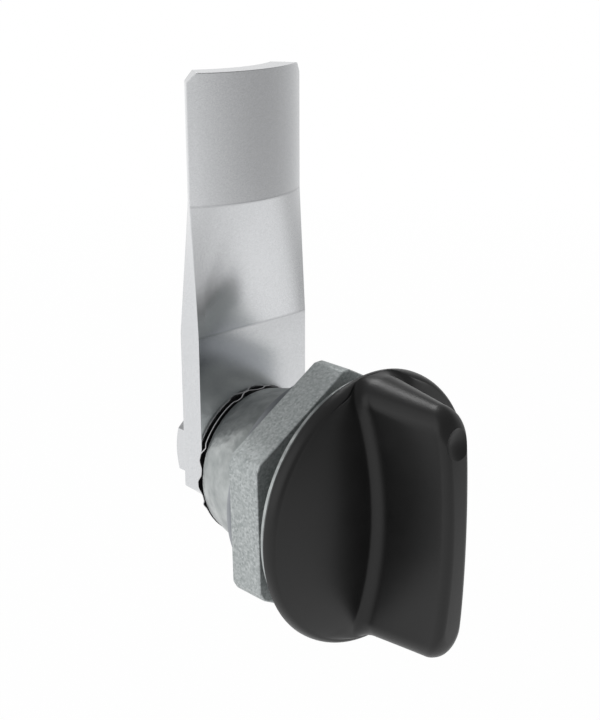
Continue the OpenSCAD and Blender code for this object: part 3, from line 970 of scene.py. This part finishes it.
def grain_group():
    """Fine crystal grain: a tone for each small cell, and a height for bump."""
    tree, take = new_group(
        "ShaderNodeTree", "crystal_grain", {"Place": VECTOR, "Scale": FLOAT},
        {"Tone": FLOAT, "Height": FLOAT})
    cells = add(tree, "ShaderNodeTexVoronoi", {"Vector": take["Place"], "Scale": take["Scale"]})
    fine = add(tree, "ShaderNodeTexNoise", {
        "Vector": take["Place"],
        "Scale": math_node(tree, "MULTIPLY", take["Scale"], 0.8),
        "Detail": 4.0,
    })
    cell = add(tree, "ShaderNodeSeparateColor", {"Color": cells.outputs["Color"]}).outputs[0]
    spread = span(tree, fine.outputs[0], 0.0, 1.0, 0.25, 0.75)
    halves = [math_node(tree, "MULTIPLY", part, 0.5) for part in (cell, spread)]
    tone = math_node(tree, "ADD", *halves)
    add(tree, "NodeGroupOutput", {"Tone": tone, "Height": fine.outputs[0]})
    return tree


def edge_highlight_group():
    """Painted edge highlight: a mask that rises where the surface turns within a small radius."""
    tree, take = new_group("ShaderNodeTree", "painted_edge_highlight", {"Radius": FLOAT}, {"Mask": FLOAT})
    turned = add(tree, "ShaderNodeBevel", {"Radius": take["Radius"]}, samples=6).outputs[0]
    true = add(tree, "ShaderNodeNewGeometry").outputs["Normal"]
    agree = vector_node(tree, "DOT_PRODUCT", turned, true, result="Value")
    add(tree, "NodeGroupOutput", {"Mask": span(tree, agree, 1.0, 0.0, 0.75, 0.99)})
    return tree


EFFECTS = {"patches": cloud_group(), "grain": grain_group(), "edges": edge_highlight_group()}


def effect(tree, name, inputs):
    """One of the shared effects, with its own values."""
    return add(tree, "ShaderNodeGroup", inputs, node_tree=EFFECTS[name]).outputs


def soft_patches(tree, place, scale):
    """The shared soft patches at a scale."""
    return effect(tree, "patches", {"Place": place, "Scale": scale})["Value"]


def crystal_grain(tree, place, scale):
    """The shared crystal grain at a scale: its tone and its height."""
    return effect(tree, "grain", {"Place": place, "Scale": scale})


def painted_edge_highlight(tree):
    """The shared mask of the painted edge highlight."""
    return effect(tree, "edges", {"Radius": EDGE_HIGHLIGHT_REACH * MM})["Mask"]


def relief(tree, height, strength, depth):
    """Normals of a fine relief."""
    made = add(tree, "ShaderNodeBump",
               {"Strength": strength, "Distance": depth * MM, "Height": height})
    return made.outputs[0]


def plus(tree, value, extra, weight):
    """A value with a weighted second one added."""
    return math_node(tree, "ADD", value, math_node(tree, "MULTIPLY", extra, weight))


# Finishes

def new_material(name):
    """An empty material with its shader and the piece's own coordinates."""
    material = bpy.data.materials.new(name)
    material.use_nodes = True
    tree = material.node_tree
    shader = tree.nodes["Principled BSDF"]
    place = add(tree, "ShaderNodeTexCoord").outputs["Object"]
    return material, tree, shader, place


def black_plastic():
    """Satin black moulded plastic with a faint moulded grain."""
    material, tree, shader, place = new_material("satin_black_plastic")
    patches = soft_patches(tree, place, 180.0)
    grain = crystal_grain(tree, place, 5200.0)
    dress(tree, shader, {
        "Base Color": tones(tree, patches, (0.0085, 0.0085, 0.0086), (0.012, 0.012, 0.0121)),
        "Roughness": span(tree, patches, 0.36, 0.41),
        "Specular IOR Level": 0.38,
        "Normal": relief(tree, grain["Height"], strength=0.05, depth=0.1),
    })
    return material


def zinc_casting():
    """Die-cast zinc: pale, slightly green, with fine bright and dull crystals."""
    material, tree, shader, place = new_material("grained_zinc_casting")
    grain = crystal_grain(tree, place, 3600.0)
    # Painted highlight: the edge mask lightens the casting's colour along its edges
    tone = plus(tree, grain["Tone"], painted_edge_highlight(tree), 0.35)
    dress(tree, shader, {
        "Base Color": tones(tree, tone, (0.31, 0.34, 0.34), (0.63, 0.66, 0.66)),
        "Metallic": 0.7,
        "Roughness": span(tree, grain["Tone"], 0.58, 0.44),
        "Normal": relief(tree, grain["Height"], strength=0.2, depth=0.1),
    })
    return material


def turned_zinc_painted_shade():
    """Smooth turned zinc of the nut's collar, with dark tones and painted shade that darkens it
    towards the hexagon.
    """
    material, tree, shader, place = new_material("smooth_turned_zinc_painted_shade")
    patches = soft_patches(tree, place, 500.0)
    # Painted shade: the colour is dark and darkens further towards the hexagon's back face
    depth = parts_of(tree, place)["Y"]
    tone = span(tree, depth, 0.0, 0.8, NUT_BACK * MM, NUT_HIGH.y * MM)
    tone = plus(tree, tone, patches, 0.2)
    dress(tree, shader, {
        "Base Color": tones(tree, tone, (0.12, 0.132, 0.148), (0.42, 0.437, 0.46)),
        "Metallic": 1.0,
        "Roughness": span(tree, patches, 0.3, 0.36),
    })
    return material


def bright_zinc():
    """Bright plated casting: glossy, with soft uneven reflections."""
    material, tree, shader, place = new_material("bright_plated_zinc")
    patches = soft_patches(tree, place, 380.0)
    # Painted highlight: the edge mask lightens the plating's colour along its edges
    tone = plus(tree, patches, painted_edge_highlight(tree), 0.6)
    dress(tree, shader, {
        "Base Color": tones(tree, tone, (0.31, 0.335, 0.335), (0.58, 0.605, 0.6)),
        "Metallic": 1.0,
        "Roughness": span(tree, patches, 0.33, 0.42),
        "Normal": relief(tree, patches, strength=0.16, depth=1),
    })
    return material


def painted_bend_shade(tree, place, colour, bends):
    """A colour with lines of painted shade along bends, on faces that look forward or back."""
    height = parts_of(tree, place)["Z"]
    normal = add(tree, "ShaderNodeNewGeometry").outputs["Normal"]
    facing = math_node(tree, "ABSOLUTE", parts_of(tree, normal)["Y"])
    strength = span(tree, facing, 0.0, 0.2, 0.5, 0.8)
    for bend in bends:
        off = math_node(tree, "ABSOLUTE", math_node(tree, "SUBTRACT", height, bend * MM))
        line = span(tree, off, strength, 0.0, BEND_SHADE_WIDTH / 3 * MM, BEND_SHADE_WIDTH * MM)
        mixed = add(tree, "ShaderNodeMix", {"Factor": line, "A": colour, "B": BEND_SHADE_TONE},
                    data_type="RGBA")
        colour = mixed.outputs["Result"]
    return colour


def plated_steel(name, bends=()):
    """Zinc-plated steel: satin gloss and a very fine grain, with a painted highlight along edges
    and painted shade along bends.
    """
    material, tree, shader, place = new_material(name)
    patches = soft_patches(tree, place, 90.0)
    grain = crystal_grain(tree, place, 9000.0)
    # Painted highlight: the edge mask lightens the steel's colour along its edges
    tone = plus(tree, painted_edge_highlight(tree), grain["Tone"], 0.7)
    colour = tones(tree, tone, (0.62, 0.63, 0.645), (0.79, 0.8, 0.815))
    dress(tree, shader, {
        "Base Color": painted_bend_shade(tree, place, colour, bends) if bends else colour,
        "Metallic": 1.0,
        "Roughness": span(tree, patches, 0.2, 0.245),
        "Normal": relief(tree, grain["Height"], strength=0.04, depth=0.1),
    })
    return material


def black_sheet():
    """Blackened spring sheet."""
    material, tree, shader, place = new_material("blackened_spring_sheet")
    patches = soft_patches(tree, place, 600.0)
    dress(tree, shader, {
        "Base Color": tones(tree, patches, (0.006, 0.006, 0.007), (0.012, 0.012, 0.013)),
        "Roughness": span(tree, patches, 0.4, 0.55),
        "Specular IOR Level": 0.2,
    })
    return material


def sheared_edge():
    """Bright sheared edge of spring sheet."""
    material, tree, shader, place = new_material("bright_sheared_edge")
    patches = soft_patches(tree, place, 900.0)
    dress(tree, shader, {
        "Base Color": tones(tree, patches, (0.62, 0.62, 0.63), (0.8, 0.8, 0.81)),
        "Metallic": 0.7,
        "Roughness": span(tree, patches, 0.35, 0.5),
    })
    return material


def seal_rubber():
    """Matt black rubber."""
    material, tree, shader, place = new_material("matt_seal_rubber")
    patches = soft_patches(tree, place, 700.0)
    dress(tree, shader, {
        "Base Color": tones(tree, patches, (0.018, 0.018, 0.018), (0.03, 0.03, 0.03)),
        "Roughness": span(tree, patches, 0.7, 0.85),
    })
    return material


def refinish(node, material):
    """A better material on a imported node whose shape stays."""
    mesh = frame["nodes"][node].data
    mesh.materials.clear()
    mesh.materials.append(material)


# Studio

def camera():
    """The photograph's camera."""
    level = Vector((math.sin(CAMERA_AZIMUTH), math.cos(CAMERA_AZIMUTH), 0))
    forward = level * math.cos(CAMERA_PITCH) - Vector((0, 0, math.sin(CAMERA_PITCH)))
    right = Vector((math.cos(CAMERA_AZIMUTH), -math.sin(CAMERA_AZIMUTH), 0))
    up = right.cross(forward)
    turned_right = right * math.cos(CAMERA_ROLL) + up * math.sin(CAMERA_ROLL)
    turned_up = up * math.cos(CAMERA_ROLL) - right * math.sin(CAMERA_ROLL)
    data = bpy.data.cameras.new("photo_camera")
    data.lens = CAMERA_LENS
    data.clip_start = CAMERA_NEAR * MM
    data.clip_end = CAMERA_FAR * MM
    obj = new_object("photo_camera", data)
    turn = Matrix((turned_right, turned_up, -forward)).transposed()
    obj.matrix_world = Matrix.Translation(CAMERA_PLACE * MM) @ turn.to_4x4()
    bpy.context.scene.camera = obj


def seen(tree):
    """What the camera sees, straight or through something, and what reflections show."""
    path = add(tree, "ShaderNodeLightPath").outputs
    shown = math_node(tree, "MAXIMUM", path["Is Camera Ray"], path["Is Transmission Ray"])
    return shown, path["Is Glossy Ray"]


def floor():
    """A pale floor far below the latch: white where it is seen, and it keeps the soft shadow."""
    corners = ((-1, -1), (1, -1), (1, 1), (-1, 1))
    points = [(x * FLOOR_HALF, y * FLOOR_HALF, FLOOR_Z) for x, y in corners]
    obj = mesh_piece("pale_floor", points, [(0, 1, 2, 3)])
    material = bpy.data.materials.new("pale_floor")
    material.use_nodes = True
    tree = material.node_tree
    tree.nodes.clear()
    shown, is_glossy = seen(tree)
    place = add(tree, "ShaderNodeTexCoord").outputs["Object"]
    far = vector_node(tree, "LENGTH", place, result="Value")
    way = vector_node(tree, "NORMALIZE", place)
    side = vector_node(tree, "DOT_PRODUCT", way, FLOOR_DARK_WAY, result="Value")
    far_glow = span(tree, side, 1.0, FLOOR_DARK)
    glow = soft_span(tree, far, 1.0, far_glow, *FLOOR_FADE)
    white_share = span(tree, far, FLOOR_WHITE, 1.0, *FLOOR_WHITE_FADE)
    shown = math_node(tree, "MULTIPLY", shown, white_share)
    matt = add(tree, "ShaderNodeBsdfDiffuse", {"Color": FLOOR_TONE})
    white = add(tree, "ShaderNodeEmission", {"Strength": 1.0})
    mirrored = add(tree, "ShaderNodeEmission", {"Strength": glow})
    bright = add(tree, "ShaderNodeMixShader",
                 {0: shown, 1: matt.outputs[0], 2: white.outputs[0]})
    whole = add(tree, "ShaderNodeMixShader",
                {0: is_glossy, 1: bright.outputs[0], 2: mirrored.outputs[0]})
    add(tree, "ShaderNodeOutputMaterial", {"Surface": whole.outputs[0]})
    obj.data.materials.append(material)


def world():
    """A white surround where it is seen, darker overhead in reflections, and an even light."""
    made = bpy.data.worlds.new("white_studio")
    bpy.context.scene.world = made
    made.use_nodes = True
    tree = made.node_tree
    tree.nodes.clear()
    shown, is_glossy = seen(tree)
    parts = parts_of(tree, add(tree, "ShaderNodeTexCoord").outputs["Generated"])
    low = soft_span(tree, parts["Y"], *LOW_GLOW, *LOW_TURN)
    high = soft_span(tree, parts["Y"], *HIGH_GLOW, *HIGH_TURN)
    glow = soft_span(tree, parts["Z"], low, high, *GLOW_RISE)
    level = plus(tree, AMBIENT, math_node(tree, "SUBTRACT", glow, AMBIENT), is_glossy)
    level = math_node(tree, "MAXIMUM", level, shown)
    back = add(tree, "ShaderNodeBackground", {"Color": (1, 1, 1, 1), "Strength": level})
    add(tree, "ShaderNodeOutputWorld", {"Surface": back.outputs[0]})


def softbox(name, place, size, watts):
    """A square soft light that looks at the middle of the latch."""
    data = bpy.data.lights.new(name, "AREA")
    data.size = size * MM
    data.energy = watts
    obj = new_object(name, data)
    place = Vector(place) * MM
    turn = (LIGHT_AIM * MM - place).to_track_quat("-Z", "Y")
    obj.matrix_world = Matrix.Translation(place) @ turn.to_matrix().to_4x4()
    obj.visible_camera = False


def studio():
    """Camera, floor, surround and two soft lights."""
    camera()
    floor()
    world()
    softbox("key_light", **KEY_LIGHT)
    softbox("top_light", **TOP_LIGHT)
    bpy.context.scene.view_settings.view_transform = "Standard"


def latch():
    """All pieces of the latch with their finishes."""
    steel = plated_steel("satin_plated_steel")
    casting = zinc_casting()
    rubber = seal_rubber()
    wing_knob(black_plastic())
    housing(bright_zinc())
    mounting_nut(casting, turned_zinc_painted_shade())
    # The cam's steel has a line of painted shade along each bend
    cam_plate(plated_steel("pressed_steel_painted_bend_shade", CAM_CREASES))
    washers(steel, black_sheet(), sheared_edge())
    cam_screw(steel)
    refinish("spindle", casting)
    refinish("shaft_o_ring", rubber)
    refinish("panel_seal", rubber)


studio()
latch()
